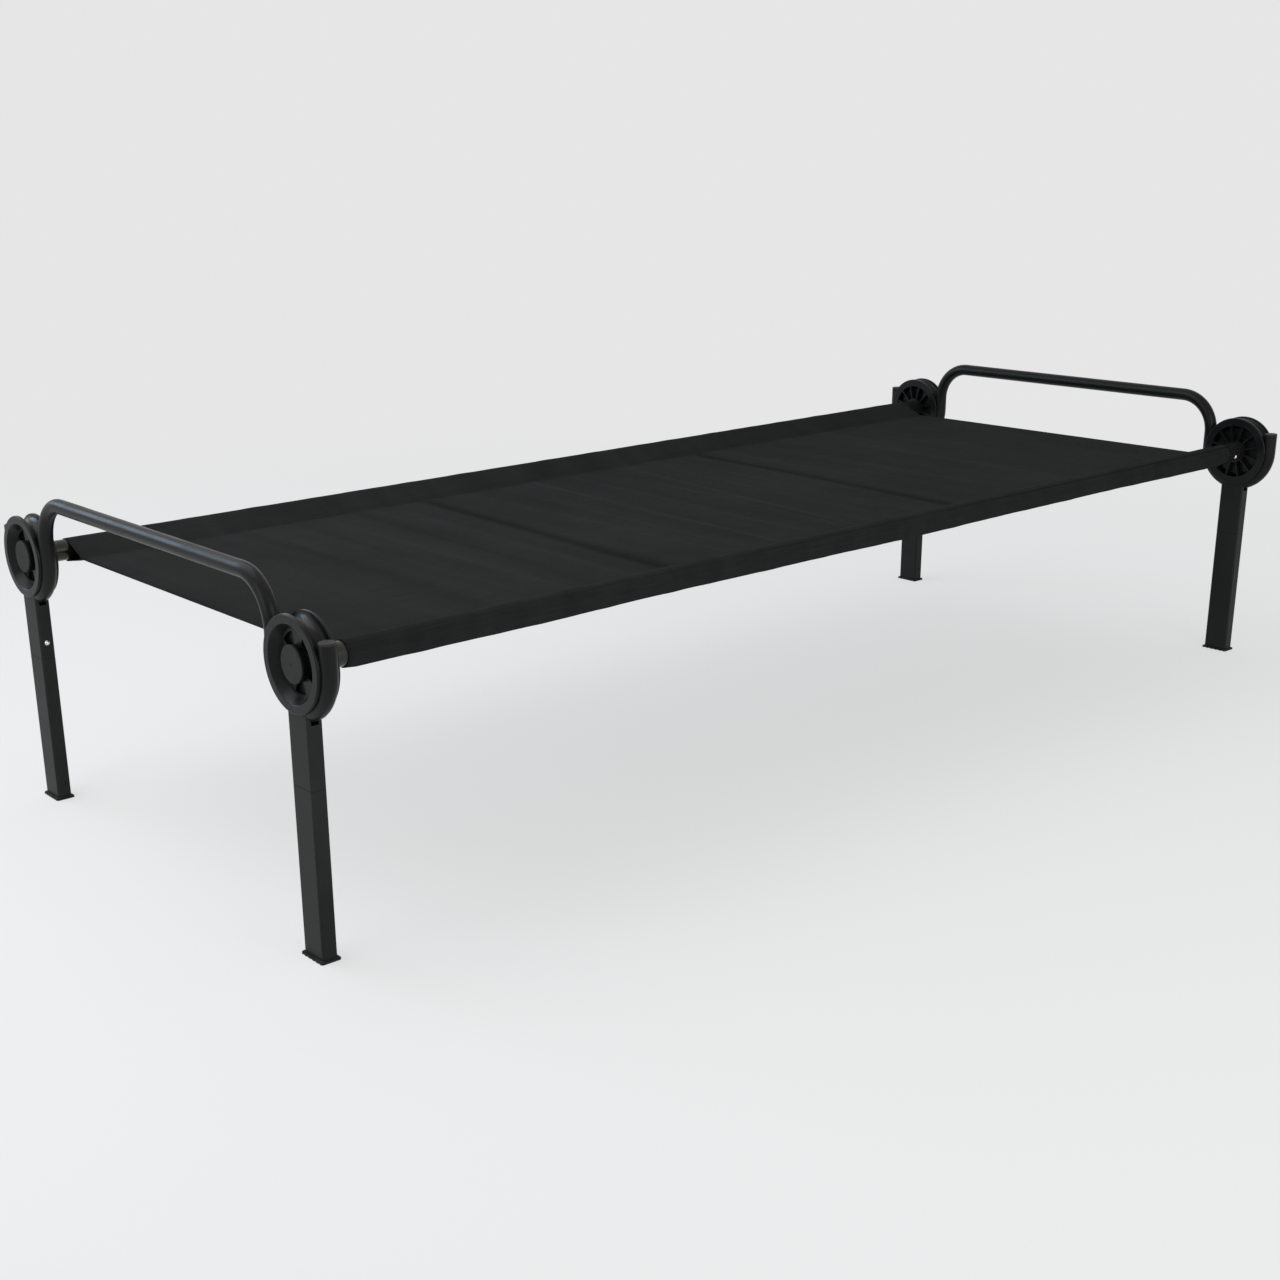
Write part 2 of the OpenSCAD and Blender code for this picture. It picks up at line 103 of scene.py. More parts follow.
def remap(tree, value, start, end, low=0.0, high=1.0, curve="LINEAR"):
    """A value mapped from start and end to low and high, and held past both ends."""
    return add(tree, "ShaderNodeMapRange", _clamp=True, _interpolation_type=curve, Value=value,
               From_Min=start, From_Max=end, To_Min=low, To_Max=high).outputs["Result"]


def mix_colour(tree, share, first, second):
    """A colour between two others."""
    mixed = add(tree, "ShaderNodeMix", _data_type="RGBA", in0=share, in6=first, in7=second)
    return mixed.outputs[2]


def toned(colour, factor):
    """A colour made darker or lighter, with its alpha."""
    return tuple(channel * factor for channel in colour) + (1.0,)


def start_group(name, inputs, outputs):
    """An empty shader group with the named sockets, and its two end nodes."""
    group = bpy.data.node_groups.new(name, "ShaderNodeTree")
    for label, kind, value in inputs:
        socket = group.interface.new_socket(label, in_out="INPUT", socket_type=kind)
        if value is not None:
            socket.default_value = value
    for label, kind in outputs:
        group.interface.new_socket(label, in_out="OUTPUT", socket_type=kind)
    return group, group.nodes.new("NodeGroupInput"), group.nodes.new("NodeGroupOutput")


def use_group(tree, group, **sockets):
    """A node that places a shader group in a tree, with its inputs set."""
    made = tree.nodes.new("ShaderNodeGroup")
    made.node_tree = group
    for name, value in sockets.items():
        connect(tree, made, name.replace("_", " "), value)
    return made


# Surface texture that coats and mouldings share: a fine grain, and broad uneven patches
grain_group, g_in, g_out = start_group(
    "surface_grain",
    [("Vector", VECTOR, None), ("Grains per Metre", FLOAT, 400.0),
     ("Patches per Metre", FLOAT, 12.0)],
    [("Grain", FLOAT), ("Patches", FLOAT)],
)
for label, scale, detail, rough in (("Grain", "Grains per Metre", 3.0, 0.55),
                                    ("Patches", "Patches per Metre", 4.0, 0.6)):
    noise = add(grain_group, "ShaderNodeTexNoise", Vector=g_in.outputs["Vector"],
                Scale=g_in.outputs[scale], Detail=detail, Roughness=rough)
    grain_group.links.new(noise.outputs["Fac"], g_out.inputs[label])

# Dust that settles on faces that look up, in uneven patches. Where its amount is turned up it
# also paints light on those faces.
top_light_and_dust_group, g_in, g_out = start_group(
    "top_light_and_dust",
    [("Colour", COLOUR, None), ("Patches", FLOAT, 0.5), ("Amount", FLOAT, 0.1)],
    [("Colour", COLOUR), ("Mask", FLOAT)],
)
facing = add(top_light_and_dust_group, "ShaderNodeNewGeometry")
upward = add(top_light_and_dust_group, "ShaderNodeSeparateXYZ", Vector=facing.outputs["Normal"])
lying = remap(top_light_and_dust_group, upward.outputs["Z"], *DUST_AND_LIGHT_SLOPE)
uneven = remap(top_light_and_dust_group, g_in.outputs["Patches"], *DUST_AND_LIGHT_PATCHES)
both = combine(top_light_and_dust_group, "MULTIPLY", lying, uneven)
mask = combine(top_light_and_dust_group, "MULTIPLY", both, g_in.outputs["Amount"])
dust_and_light_colour = mix_colour(top_light_and_dust_group, mask, g_in.outputs["Colour"], DUST_AND_LIGHT_TAN)
top_light_and_dust_group.links.new(dust_and_light_colour, g_out.inputs["Colour"])
top_light_and_dust_group.links.new(mask, g_out.inputs["Mask"])


def start_material(name):
    """A new material with its node tree and its surface."""
    material = bpy.data.materials.new(name)
    material.use_nodes = True
    return material, material.node_tree, material.node_tree.nodes["Principled BSDF"]


def hard_finish(name, colour, rough, grains, bump_mm, patches=14.0, dust_and_top_light_amount=0.05, metallic=0.0,
                specular=0.5, coat=0.0, coat_rough=0.2):
    """A hard surface: colour that drifts in patches, grain in its bump, and settled dust that,
    turned up, also paints light on upward faces.
    """
    material, tree, surface = start_material(name)
    place = add(tree, "ShaderNodeTexCoord")
    texture = use_group(tree, grain_group, Vector=place.outputs["Object"],
                        Grains_per_Metre=grains, Patches_per_Metre=patches)
    patch = texture.outputs["Patches"]
    tint = mix_colour(tree, remap(tree, patch, *NOISE_SPAN), toned(colour, 1.0 - PATCH_CONTRAST),
                      toned(colour, 1.0 + PATCH_CONTRAST))
    dusted_and_lit = use_group(tree, top_light_and_dust_group, Colour=tint, Patches=patch, Amount=dust_and_top_light_amount)
    gloss = remap(tree, patch, *NOISE_SPAN, rough - ROUGH_SPREAD / 2, rough + ROUGH_SPREAD / 2)
    relief = add(tree, "ShaderNodeBump", Strength=1.0, Distance=bump_mm / 1000,
                 Height=texture.outputs["Grain"])
    for key, value in (
        ("Base Color", dusted_and_lit.outputs["Colour"]),
        ("Roughness", combine(tree, "ADD", gloss, dusted_and_lit.outputs["Mask"])),
        ("Normal", relief.outputs["Normal"]),
        ("Metallic", metallic),
        ("Specular IOR Level", specular),
        ("Coat Weight", coat),
        ("Coat Roughness", coat_rough),
    ):
        connect(tree, surface, key, value)
    return material


def finish(node, material):
    """Gives a CAD node its finish."""
    shape = nodes[node].data
    shape.materials.clear()
    shape.materials.append(material)


frame_coat = hard_finish("frame_powder_coat", FRAME_BLACK, rough=0.32, grains=260.0,
                         bump_mm=0.003, specular=0.12)
for end in ("left", "right"):
    finish(f"{end}_end_frame", frame_coat)

# ---- Legs ------------------------------------------------------------------------------
# 44 by 22 mm rectangular steel tube in two lengths. The socket is welded under the curl
# and coated with the frame; the lower leg plugs up into it on a reduced spigot.

LEG_BLACK = (0.0126, 0.0136, 0.0130)
CORNERS = ["front_left", "front_right", "back_left", "back_right"]
leg_coat = hard_finish("leg_powder_coat", LEG_BLACK, rough=0.42, grains=460.0, bump_mm=0.01,
                       patches=9.0, specular=0.12)
for corner in CORNERS:
    finish(f"{corner}_leg_socket", leg_coat)
    finish(f"{corner}_lower_leg", leg_coat)

# ---- Feet ------------------------------------------------------------------------------
# Moulded in black nylon: a flared plate with a hollow plug inside the leg. Its upward faces
# are lighter, partly with dust and partly with painted light.

FOOT_BLACK = (0.0110, 0.0115, 0.0115)
# The feet's dust is turned up so that it also paints light on the plate's upward faces
foot_nylon = hard_finish("foot_nylon", FOOT_BLACK, rough=0.6, grains=900.0, bump_mm=0.02,
                         patches=60.0, dust_and_top_light_amount=0.22, specular=0.2)
for corner in CORNERS:
    finish(f"{corner}_foot", foot_nylon)

# ---- Discs -----------------------------------------------------------------------------
# Moulded in glass-filled black nylon with a spark-eroded texture. The groove seats the
# frame tube, the outer face is dished and spoked, and the inner face is ribbed.

DISC_BLACK = (0.0060, 0.0064, 0.0066)
CAP_BLACK = (0.0185, 0.0200, 0.0185)
PLUG_BLACK = (0.0200, 0.0215, 0.0200)
disc_nylon = hard_finish("disc_nylon", DISC_BLACK, rough=0.28, grains=1100.0, bump_mm=0.008,
                         patches=30.0, specular=0.15)
cap_nylon = hard_finish("cap_nylon", CAP_BLACK, rough=0.6, grains=1300.0, bump_mm=0.02,
                        patches=40.0, specular=0.12)
plug_nylon = hard_finish("plug_nylon", PLUG_BLACK, rough=0.5, grains=1300.0, bump_mm=0.02,
                         patches=40.0, dust_and_top_light_amount=0.2, specular=0.15)
for corner in CORNERS:
    finish(f"{corner}_disc", disc_nylon)
    finish(f"{corner}_disc_cap", cap_nylon)
    finish(f"{corner}_hook_plug", plug_nylon)

# ---- Side rails ------------------------------------------------------------------------
# 32 mm steel tube in two halves on an inner joiner, under a thin dark clear coat that
# lets the drawn metal show.

RAIL_BROWN = (0.021, 0.021, 0.016)
ZINC = (0.42, 0.43, 0.44)
rail_coat = hard_finish("rail_clear_coat", RAIL_BROWN, rough=0.24, grains=700.0, bump_mm=0.004,
                        patches=22.0, metallic=0.5, specular=0.3, coat=0.2, coat_rough=0.1)
joiner_zinc = hard_finish("joiner_zinc", ZINC, rough=0.4, grains=600.0, bump_mm=0.006,
                          metallic=1.0)
for corner in CORNERS:
    finish(f"{corner}_rail", rail_coat)
for side in ("front", "back"):
    finish(f"{side}_rail_joiner", joiner_zinc)

# ---- Snap buttons ----------------------------------------------------------------------
# Turned steel pins with domed tips, nickel plated, each on a flange inside its tube. A
# strip of spring steel bent to a V sits behind the flange and closes as the pin goes in.

NICKEL = (0.72, 0.72, 0.70)
SPRING_GREY = (0.40, 0.41, 0.42)
STRIP_T = 0.0008
STRIP_WIDTH = 0.008
BEND_R = 0.0026
ARM_STEPS = 5
BEND_STEPS = 13
STRIP_EDGE = math.radians(40)
button_nickel = hard_finish("button_nickel", NICKEL, rough=0.22, grains=1500.0, bump_mm=0.004,
                            patches=90.0, metallic=1.0)
spring_steel = hard_finish("spring_steel", SPRING_GREY, rough=0.34, grains=1200.0,
                           bump_mm=0.005, patches=60.0, metallic=1.0)


def get_points(shape):
    """A mesh's vertices as rows of x, y, z."""
    points = np.zeros(len(shape.vertices) * 3)
    shape.vertices.foreach_get("co", points)
    return points.reshape(-1, 3)


def set_points(shape, points):
    """Moves a mesh's vertices to new places."""
    shape.vertices.foreach_set("co", points.ravel())
    shape.update()


def thicken(sheet, thickness):
    """Gives a sheet its thickness, half to each side."""
    thick = sheet.modifiers.new("thickness", "SOLIDIFY")
    thick.thickness = thickness
    thick.offset = 0.0
    bpy.ops.object.select_all(action="DESELECT")
    bpy.context.view_layer.objects.active = sheet
    sheet.select_set(True)
    bpy.ops.object.modifier_apply(modifier=thick.name)


def bent_path(length, gap):
    """The middle line of a V strip: from one arm's open end, round its bend, to the other's."""
    far = length - BEND_R - STRIP_T / 2
    half = (gap - STRIP_T) / 2
    slope = math.atan2(half, far) - math.asin(BEND_R / math.hypot(half, far))
    turn = np.linspace(slope - math.pi / 2, math.pi / 2 - slope, BEND_STEPS)
    bend = np.column_stack([far + BEND_R * np.cos(turn), BEND_R * np.sin(turn)])
    arm = np.linspace((0.0, -half), bend[0], ARM_STEPS, endpoint=False)
    return np.vstack([arm, bend, arm[::-1] * (1, -1)])


def v_spring(corner, place, press, run):
    """The V strip between a button's flange and the wall behind it, open along its run."""
    node = f"{corner}_{place}_spring"
    points = get_points(nodes[node].data)
    deep, long = points @ press, points @ run
    gap = deep.max() - deep.min()
    path = bent_path(long.max() - long.min(), gap)
    across = np.cross(press, run)
    middle = press * (deep.max() + deep.min()) / 2 + across * (points @ across).mean()
    start = run * long.min() + middle
    bpy.ops.object.select_all(action="DESELECT")
    bpy.ops.mesh.primitive_grid_add(x_subdivisions=len(path) - 1, y_subdivisions=1, size=2.0)
    strip = bpy.context.active_object
    strip.name = f"{corner}_{place}_v_spring"
    flat = get_points(strip.data)
    step = np.rint((flat[:, 0] + 1) / 2 * (len(path) - 1)).astype(int)
    side = flat[:, 1] * STRIP_WIDTH / 2
    set_points(strip.data, start + np.outer(path[step, 0], run) + np.outer(path[step, 1], press)
               + np.outer(side, across))
    thicken(strip, STRIP_T)
    bpy.ops.object.mode_set(mode="EDIT")
    bpy.ops.mesh.select_all(action="SELECT")
    bpy.ops.mesh.normals_make_consistent(inside=False)
    bpy.ops.object.mode_set(mode="OBJECT")
    bpy.ops.object.shade_smooth_by_angle(angle=STRIP_EDGE)
    strip.data.materials.append(spring_steel)
    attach(strip, root)
    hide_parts(node)
    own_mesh(strip)


joints = {joint["name"]: joint for joint in frame["joints"]}
for corner in CORNERS:
    inward = -1.0 if "right" in corner else 1.0
    for place, run in (("leg", (0.0, 0.0, -1.0)), ("rail", (inward, 0.0, 0.0))):
        finish(f"{corner}_{place}_button", button_nickel)
        joint = joints[f"{corner}_{place}_button_press"]
        v_spring(corner, place, np.array(joint["axis"], float), np.array(run))

# ---- Fabric deck -----------------------------------------------------------------------
# One cut of coated plain-weave polyester. Each long edge is turned round its rail and
# sewn back under the deck as a sleeve, and each end has a doubled hem. It has been stored
# folded in three and pulled tight, which leaves two fold lines and many fine creases.

CLOTH_T = 0.0009
DOUBLED = 1.15 * CLOTH_T  # from the middle of one layer to the next
DECK_DROP = 0.005  # from the rail's centre down to the deck
SLEEVE_EASE = 0.0004
SEAM_IN = 0.052
SEAM_TAIL = 0.014
SEAM_DIP = 0.0012
SEAM_DIP_REACH = 0.004
_, deck_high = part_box("fabric_deck")
rail_low, rail_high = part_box("front_left_rail")
rail_y = -(rail_low.y + rail_high.y) / 2
rail_z = (rail_low.z + rail_high.z) / 2
rail_r = (rail_high.z - rail_low.z) / 2
deck_z = rail_z - DECK_DROP
seam_y = rail_y - SEAM_IN
sleeve_r = rail_r + SLEEVE_EASE + CLOTH_T / 2
half_len = deck_high.x - CLOTH_T


def ramp(distance, over):
    """From 0 to 1 over a distance, and held past both ends."""
    return np.clip(distance / over, 0, 1)


def path_lengths(path):
    """The length along a path to each of its points."""
    return np.concatenate([[0], np.cumsum(np.linalg.norm(np.diff(path, axis=0), axis=1))])


# Section of the front sleeve, from the tail under the deck round the rail to the seam, in
# metres inwards and up from the rail's centre. The back one mirrors it.
TAIL_ROWS, LOWER_ROWS, WRAP_ROWS, UPPER_ROWS, FLAT_ROWS = 3, 7, 26, 9, 26
BESIDE_SEAM = (0.005, 0.011)
FLAT_FROM_SEAM = 0.026
seam = np.array([SEAM_IN, -DECK_DROP])
pitch = math.atan2(seam[1], seam[0])
opening = math.acos(sleeve_r / np.linalg.norm(seam))
wrap = np.linspace(pitch - opening, pitch + opening - 2 * math.pi, WRAP_ROWS)
arc = sleeve_r * np.column_stack([np.cos(wrap), np.sin(wrap)])
seam_under = seam - np.array([0.0, DOUBLED])
tail_end = seam_under + np.array([SEAM_TAIL, 0.0])
sleeve_path = np.vstack([
    np.linspace(tail_end, seam_under, TAIL_ROWS, endpoint=False),
    np.linspace(seam_under, arc[0], LOWER_ROWS, endpoint=False),
    arc,
    np.linspace(arc[-1], seam, UPPER_ROWS + 1)[1:],
])
beside_seam = seam_y - np.array(BESIDE_SEAM)
flat_y = np.concatenate([
    -beside_seam,
    np.linspace(FLAT_FROM_SEAM - seam_y, seam_y - FLAT_FROM_SEAM, FLAT_ROWS),
    beside_seam[::-1],
])
section = np.vstack([
    np.column_stack([-rail_y + sleeve_path[:, 0], rail_z + sleeve_path[:, 1]]),
    np.column_stack([flat_y, np.full(len(flat_y), deck_z)]),
    np.column_stack([rail_y - sleeve_path[::-1, 0], rail_z + sleeve_path[::-1, 1]]),
])

# The sleeve hangs a little loose under the rail, most at the bottom of the loop
HANG = 0.0026
HANG_WAVES = ((0.0008, 7.3, 1.0), (0.0004, 17.0, 0.0))  # height, turn per metre, phase
HANG_BULGE = 1.6
HANG_FALL = 1.3
down_the_run = np.linspace(0, 1, LOWER_ROWS, endpoint=False)
sleeve_hang = np.concatenate([
    np.zeros(TAIL_ROWS),
    down_the_run + HANG_BULGE * down_the_run * (1 - down_the_run),
    np.clip(np.cos(wrap - wrap[0]), 0, 1) ** HANG_FALL,
    np.zeros(UPPER_ROWS),
])
hang = np.concatenate([sleeve_hang, np.zeros(len(flat_y)), sleeve_hang[::-1]])

# Creases that cross the deck: x at the back seam, x at the front seam, height, half width,
# and how far from the front and back seams each fades, all in mm. The first two are the
# fold lines.
CREASES = [
    (-342, -374, -1.5, 14, 0, 0), (296, 265, -1.3, 13, 0, 0),
    (-112, -138, 0.55, 6, 40, 20), (106, 34, 0.5, 6, 20, 20), (-262, -240, 0.25, 6, 60, 350),
    (-560, -556, 0.28, 9, 20, 420), (62, 12, 0.35, 5, 20, 200), (-140, -128, 0.3, 5, 330, 0),
    (-190, -205, 0.22, 5, 120, 30), (-30, -60, 0.28, 5, 40, 60), (165, 120, 0.25, 5, 60, 30),
    (215, 190, 0.22, 6, 30, 120), (-420, -445, 0.3, 8, 60, 60), (-485, -500, -0.25, 9, 160, 20),
    (-620, -610, 0.22, 9, 120, 80), (-700, -690, -0.18, 12, 60, 160), (350, 330, 0.3, 6, 200, 10),
    (400, 385, 0.25, 6, 240, 10), (455, 440, 0.25, 6, 280, 10), (520, 500, 0.2, 8, 260, 10),
    (600, 590, 0.15, 10, 200, 60), (-820, -800, 0.2, 14, 100, 40), (750, 735, 0.15, 12, 60, 160),
]
FOLDED_BELOW = -1  # a height under this is a fold line
FOLD_GAIN = 1.5
FOLD_POWER = 1.5
CREASE_GAIN = 1.9
BOW_MM = 4.0
BOW_STEP = 1.7
FADE_PAST_MM = 12
FADE_LEAST_MM = 25


def crease_field(x, y):
    """Height of the creases over the flat deck, the painted shade of the fold lines, and the
    painted highlight of the crests.
    """
    x, y, side = x * 1000, y * 1000, seam_y * 1000
    share = (side - y) / (2 * side)
    height, painted_shade, crest = np.zeros_like(x), np.zeros_like(x), np.zeros_like(x)
    for number, (at_back, at_front, size, half, fade_front, fade_back) in enumerate(CREASES):
        bow = BOW_MM * math.sin(BOW_STEP * number) * np.sin(share * math.pi)
        away = np.abs(x - (at_back + (at_front - at_back) * share + bow)) / half
        keep = (ramp(y + side + FADE_PAST_MM, fade_front + FADE_LEAST_MM)
                * ramp(side - y + FADE_PAST_MM, fade_back + FADE_LEAST_MM))
        if size < FOLDED_BELOW:
            height += FOLD_GAIN * size * np.exp(-away ** FOLD_POWER) * keep
            # painted shade along each fold line
            painted_shade = np.maximum(painted_shade, np.exp(-away ** 2) * keep)
        else:
            raised = size * np.exp(-away ** 2) * keep
            height += CREASE_GAIN * raised
            # painted highlight on a raised crease, painted shade in a shallow dip
            crest += raised
    return height / 1000, painted_shade, crest


SLACK = 0.00035
BROAD_SWELLS = ((9.1, 3.3, 0.4), (5.3, -7.1, 1.9))  # turn per metre along x and y, phase
FINE_SWELLS = ((0.6, 23.0, 2.1, 2.2), (0.35, 47.0, 6.1, 0.7))  # height, then the same
LIFT_PAST_SEAM = 0.02
LIFT_FADE = 0.05
END_FADE = 0.05


def slack_field(x, y):
    """Broad unevenness of the pulled cloth, at x, y in metres."""
    height = 1.0
    for along, across, phase in BROAD_SWELLS:
        height = height * np.sin(along * x + across * y + phase)
    for size, along, across, phase in FINE_SWELLS:
        height = height + size * np.sin(along * x + across * y + phase)
    return SLACK * height


def lift_share(y):
    """How much of the deck's unevenness is left at y, as it fades out into the sleeves."""
    return ramp(seam_y + LIFT_PAST_SEAM - np.abs(y), LIFT_FADE)


def end_share(x):
    """How much of the slack is left at x, as it fades out at the hems."""
    return ramp(half_len - np.abs(x), END_FADE)


def cloth_lift(x, y):
    """Height of the cloth over its flat plane at x, y in metres."""
    return lift_share(y) * (crease_field(x, y)[0] + slack_field(x, y) * end_share(x))


# The cloth's grid, with more columns where the creases are
FINE_FROM, FINE_TO = -0.66, 0.64
LEFT_COLUMNS, FINE_COLUMNS, RIGHT_COLUMNS = 35, 335, 40
TOP_BAND = 0.02
columns = np.concatenate([
    np.linspace(-half_len, FINE_FROM, LEFT_COLUMNS, endpoint=False),
    np.linspace(FINE_FROM, FINE_TO, FINE_COLUMNS, endpoint=False),
    np.linspace(FINE_TO, half_len, RIGHT_COLUMNS),
])
X, row = np.meshgrid(columns, np.arange(len(section)), indexing="ij")
Y, Z = section[row, 0], section[row, 1]
V = path_lengths(section)[row]
under_rows = TAIL_ROWS + LOWER_ROWS
on_top = (np.abs(Z - deck_z) < TOP_BAND).astype(float)
on_top[:, :under_rows] = 0
on_top[:, -under_rows:] = 0
# Painted shade along the fold lines and painted highlight on the crests, kept to the top of the
# deck
_, painted_shade, crest = crease_field(X, Y)
painted_shade, crest = painted_shade * lift_share(Y) * on_top, crest * lift_share(Y) * on_top

# A line of painted shade along the shoulder of each sleeve, plainest towards the right end
SHOULDER = math.radians(127)
SHOULDER_SHADE_START, SHOULDER_SHADE_GROWS, SHOULDER_SHADE_LEAST, SHOULDER_SHADE_MOST = -0.9, 1.6, 0.15, 0.9
shoulder = under_rows + int(np.argmin(np.abs(np.mod(wrap, 2 * math.pi) - SHOULDER)))
for shaded_row in (shoulder, len(section) - 1 - shoulder):
    painted_shade[:, shaded_row] = np.clip((columns - SHOULDER_SHADE_START) / SHOULDER_SHADE_GROWS, SHOULDER_SHADE_LEAST, SHOULDER_SHADE_MOST)

# The deck is lifted by its creases and dips at its seams, and the sleeves hang, least at
# their ends
END_HANG, HANG_GROWS = 0.3, 2
near_end = end_share(X)
dip = SEAM_DIP * np.exp(-((np.abs(Y) - seam_y) / SEAM_DIP_REACH) ** 2)
Z = Z + on_top * (cloth_lift(X, Y) - dip)
droop = HANG + sum(high * np.sin(turns * X + phase) for high, turns, phase in HANG_WAVES)
Z = Z - hang[row] * droop * np.clip(near_end * HANG_GROWS + END_HANG, 0, 1)

# The sleeves pull into shallow ripples that run down from the top of the rail
RIPPLE = 0.00028
RIPPLE_INWARD = 0.0001
RIPPLE_FROM_SEAM = 0.012
RIPPLE_FADE = 0.03
# Height, turn per metre along the rail and per radian round it, phase, and phase by side
RIPPLE_WAVES = ((1.0, 61, 2.2, 0.0, 0), (0.7, 103, -1.7, 0.0, 1), (0.5, 29, 0.0, 1.1, 0))
angle = np.arctan2(Z - rail_z, np.abs(Y) - rail_y)
ripple = RIPPLE * sum(
    high * np.sin(along * X + about * angle + phase + by_side * np.sign(Y))
    for high, along, about, phase, by_side in RIPPLE_WAVES
)
round_rail = ramp(np.abs(Y) - seam_y - RIPPLE_FROM_SEAM, RIPPLE_FADE) * near_end
outward = np.maximum(ripple, -RIPPLE_INWARD) * round_rail
Y = Y + np.sign(Y) * outward
Z = Z + np.sign(Z - rail_z) * outward / 2


def grid_mesh(name, places, uv, marks):
    """A grid of quads with a UV in metres and float attributes."""
    n, m = places.shape[:2]
    index = np.arange(n * m).reshape(n, m)
    quads = np.stack([index[:-1, :-1], index[:-1, 1:], index[1:, 1:], index[1:, :-1]], axis=-1)
    mesh = bpy.data.meshes.new(name)
    mesh.from_pydata(places.reshape(-1, 3).tolist(), [], quads.reshape(-1, 4).tolist())
    layer = mesh.uv_layers.new(name="cloth_metres")
    corner_vertex = np.zeros(len(mesh.loops), np.int32)
    mesh.loops.foreach_get("vertex_index", corner_vertex)
    layer.data.foreach_set("uv", uv.reshape(-1, 2)[corner_vertex].astype(np.float32).ravel())
    for label, values in marks.items():
        attribute = mesh.attributes.new(label, "FLOAT", "POINT")
        attribute.data.foreach_set("value", values.reshape(-1).astype(np.float32))
    mesh.polygons.foreach_set("use_smooth", [True] * len(mesh.polygons))
    mesh.update()
    made = bpy.data.objects.new(name, mesh)
    bpy.context.scene.collection.objects.link(made)
    return made


# The painted shade lines and the painted crest highlights go on the mesh as attributes
deck = grid_mesh("deck_cloth", np.stack([X, Y, Z], axis=-1), np.stack([X, V], axis=-1),
                 {"painted_shade_line": painted_shade, "crest": crest})
thicken(deck, CLOTH_T)

# Each end is turned under as a hem between the sleeves: round the edge, then back in
HEM_IN = 0.03
HEM_FROM_SEAM = 0.016
HEM_FLAT_ROWS, HEM_TURN_ROWS, HEM_COLUMNS = 6, 9, 74
turn = np.linspace(-math.pi / 2, math.pi / 2, HEM_TURN_ROWS)
hem_path = np.vstack([
    np.linspace((-HEM_IN, -DOUBLED), (0.0, -DOUBLED), HEM_FLAT_ROWS, endpoint=False),
    DOUBLED / 2 * np.column_stack([np.cos(turn), np.sin(turn) - 1]),
])
hem_along = path_lengths(hem_path)
hem_side = seam_y - HEM_FROM_SEAM
hem_y = np.linspace(-hem_side, hem_side, HEM_COLUMNS)
hems = []
for end, way in (("left", -1), ("right", 1)):
    run, place_y = np.meshgrid(np.arange(len(hem_path)), hem_y[::way], indexing="ij")
    hem_x = way * (half_len + hem_path[run, 0])
    hem_z = deck_z + hem_path[run, 1] + cloth_lift(np.clip(hem_x, -half_len, half_len), place_y)
    hem = grid_mesh(f"deck_hem_{end}", np.stack([hem_x, place_y, hem_z], axis=-1),
                    np.stack([hem_along[run], place_y], axis=-1), {})
    thicken(hem, CLOTH_T)
    hems.append(hem)

# Lockstitch rows: two along each sleeve's seam, and one across each hem
STITCH_PITCH = 0.0042
STITCH_LEN = 0.0034
STITCH_R = 0.00042
STITCH_FROM_END = 0.004
SEAM_ROWS = (("seam", 0.003), ("seam_tail", 0.011))
ALONG_BED, ACROSS_BED = np.array([1.0, 0.0, 0.0]), np.array([0.0, 1.0, 0.0])
stitch_rows = []


def stitch_row(name, start, way, length):
    """A row of stitches on the top of the cloth, from a start and along a way."""
    bpy.ops.object.select_all(action="DESELECT")
    bpy.ops.mesh.primitive_uv_sphere_add(segments=6, ring_count=4, radius=1.0,
                                         location=(*start, deck_z + CLOTH_T / 2))
    made = bpy.context.active_object
    made.name = name
    made.scale = STITCH_R + way * (STITCH_LEN / 2 - STITCH_R)
    bpy.ops.object.transform_apply(location=True, rotation=True, scale=True)
    repeat = made.modifiers.new("repeat", "ARRAY")
    repeat.use_relative_offset = False
    repeat.use_constant_offset = True
    repeat.constant_offset_displace = way * STITCH_PITCH
    repeat.count = int(length / STITCH_PITCH)
    bpy.ops.object.modifier_apply(modifier=repeat.name)
    made.data.polygons.foreach_set("use_smooth", [True] * len(made.data.polygons))
    points = get_points(made.data)
    points[:, 2] += cloth_lift(points[:, 0], points[:, 1])
    set_points(made.data, points)
    stitch_rows.append(made)


for side, way in (("front", -1), ("back", 1)):
    for row_name, from_seam in SEAM_ROWS:
        stitch_row(f"{row_name}_stitches_{side}",
                   (STITCH_FROM_END - half_len, way * (seam_y - from_seam)),
                   ALONG_BED, 2 * (half_len - STITCH_FROM_END))
for end, way in (("left", -1), ("right", 1)):
    stitch_row(f"hem_stitches_{end}",
               (way * (half_len - HEM_IN + STITCH_FROM_END), -hem_side),
               ACROSS_BED, 2 * hem_side)

# Plain weave: threads along U and V that pass over and under each other
CROSSING = 0.3
SLUBS_PER_METRE = (14.0, 260.0, 1.0)
weave_group, g_in, g_out = start_group(
    "plain_weave",
    [("UV", VECTOR, None), ("Threads per Metre", FLOAT, 1000.0)],
    [("Height", FLOAT), ("Warp", FLOAT), ("Slub", FLOAT)],
)


def wave(value, phase):
    """A sine that makes half a turn for each thread."""
    return combine(weave_group, "SINE",
                   combine(weave_group, "MULTIPLY_ADD", value, math.pi, phase))


